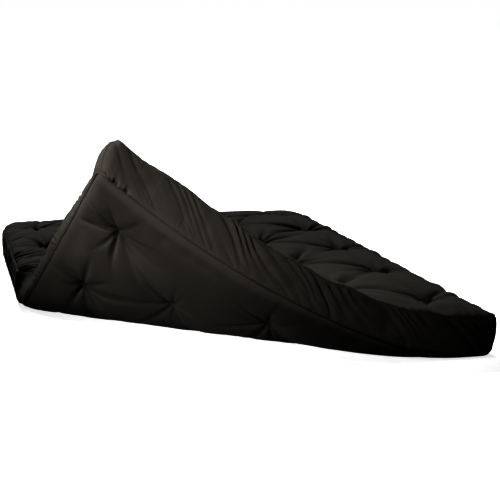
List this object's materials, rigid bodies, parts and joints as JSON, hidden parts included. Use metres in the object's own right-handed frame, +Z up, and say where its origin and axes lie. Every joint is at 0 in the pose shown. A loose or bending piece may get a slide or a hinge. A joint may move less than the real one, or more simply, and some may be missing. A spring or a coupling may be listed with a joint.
{
  "type": "futon mattress",
  "caption": "Tufted cotton futon mattress with a boxed border, lying flat with one corner turned up to show its underside.",
  "frame": {"origin": "centre of the footprint, on the floor under the mattress", "axes": "+Y along the length, away from the end with the turned-up corner; +X across the width; +Z up through the thickness"},
  "size_m": [1.4034, 2.003, 0.6959],
  "materials": {
    "casing": "near-black warm charcoal cotton twill, soft and matt",
    "batting": "natural cotton batting",
    "core": "needled polyester fibre pad",
    "thread": "dark waxed cotton thread",
    "twine": "dark waxed cotton twine"
  },
  "bodies": {
    "root": {"top_panel": "casing", "bottom_panel": "casing", "front_border": "casing", "back_border": "casing", "left_border": "casing", "right_border": "casing", "lower_outer_batt": "batting", "lower_inner_batt": "batting", "core_pad": "core", "upper_inner_batt": "batting", "upper_outer_batt": "batting", "top_seam_stitching": "thread", "bottom_seam_stitching": "thread", "corner_stitching": "thread", "closing_stitches": "thread", "tuft_ties_1": "twine", "top_knots_1": "twine", "bottom_knots_1": "twine", "tuft_ties_2": "twine", "top_knots_2": "twine", "bottom_knots_2": "twine", "tuft_ties_3": "twine", "top_knots_3": "twine", "bottom_knots_3": "twine", "tuft_ties_4": "twine", "top_knots_4": "twine", "bottom_knots_4": "twine", "tuft_ties_5": "twine", "top_knots_5": "twine", "bottom_knots_5": "twine"}
  },
  "joints": []
}
